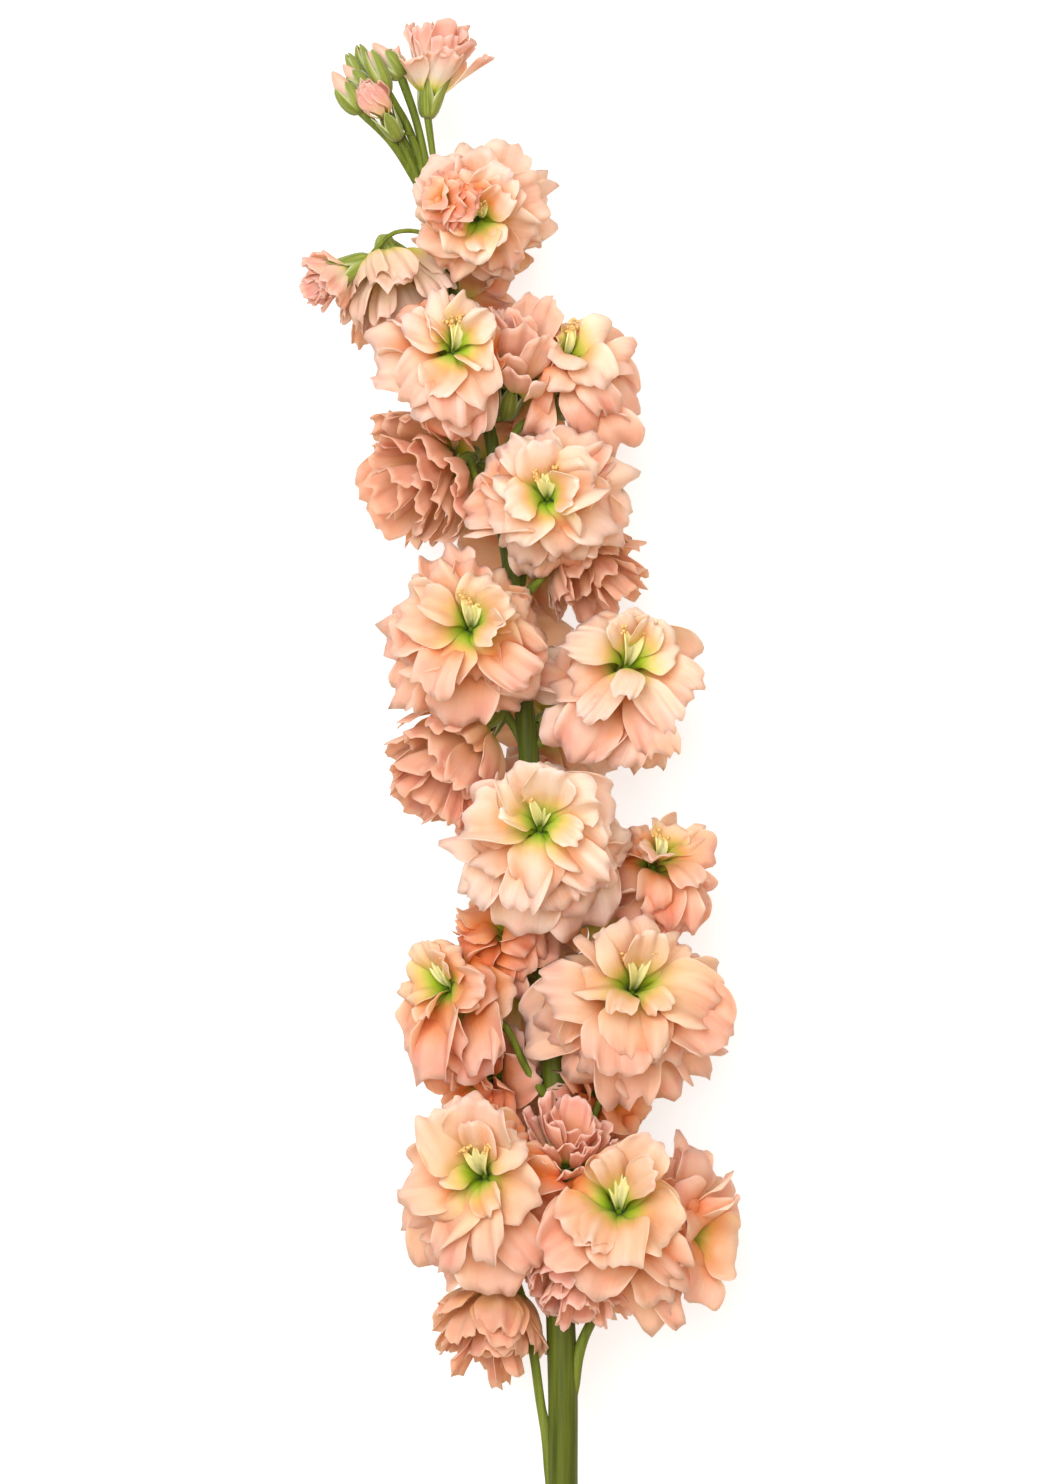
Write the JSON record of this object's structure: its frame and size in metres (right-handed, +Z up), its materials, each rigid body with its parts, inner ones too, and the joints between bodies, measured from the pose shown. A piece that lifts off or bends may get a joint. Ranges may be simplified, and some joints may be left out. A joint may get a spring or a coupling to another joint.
{
  "type": "cut flower stem",
  "caption": "Cut stem of double-flowered stock with ruffled apricot and pink blooms, lying on a surface.",
  "frame": {"origin": "on the surface under the middle of the stem's bounding box", "axes": "+Y along the stem towards its tip, +X to the right seen from above with the tip away, +Z up from the surface it lies on"},
  "size_m": [0.0908, 0.3628, 0.057],
  "materials": {
    "green": "matte",
    "petals_peach": "matte",
    "petals_pink": "matte",
    "bud_petals": "matte"
  },
  "bodies": {
    "root": {"stem": "green", "bloom_01": "petals_pink", "bloom_02": "petals_peach", "bloom_03": "petals_pink", "bloom_04": "petals_peach", "bloom_05": "petals_peach", "bloom_06": "petals_pink", "bloom_07": "petals_peach", "bloom_08": "petals_pink", "bloom_09": "petals_peach", "bloom_10": "petals_pink", "bloom_11": "petals_peach", "bloom_12": "petals_peach", "bloom_13": "petals_pink", "bloom_14": "petals_peach", "bloom_15": "petals_peach", "bloom_16": "petals_pink", "bloom_17": "petals_peach", "bloom_18": "petals_peach", "bloom_19": "petals_pink", "bloom_20": "petals_pink", "bloom_21": "petals_pink", "bloom_22": "petals_peach", "bloom_23": "petals_peach", "bloom_24": "petals_pink", "bloom_25": "petals_pink", "bloom_26": "petals_pink", "bloom_27": "petals_pink", "bloom_28": "petals_pink", "bloom_29": "petals_peach", "bloom_30": "petals_peach", "bloom_31": "petals_peach", "bloom_32": "petals_peach", "bloom_33": "petals_peach", "bloom_34": "petals_peach", "bloom_35": "petals_peach", "bloom_36": "petals_peach", "bloom_37": "petals_peach", "bloom_38": "petals_peach", "bloom_39": "petals_peach", "bloom_40": "petals_peach", "bud_tip_1": "bud_petals", "bud_tip_2": "bud_petals", "bud_tip_3": "bud_petals"}
  },
  "joints": []
}
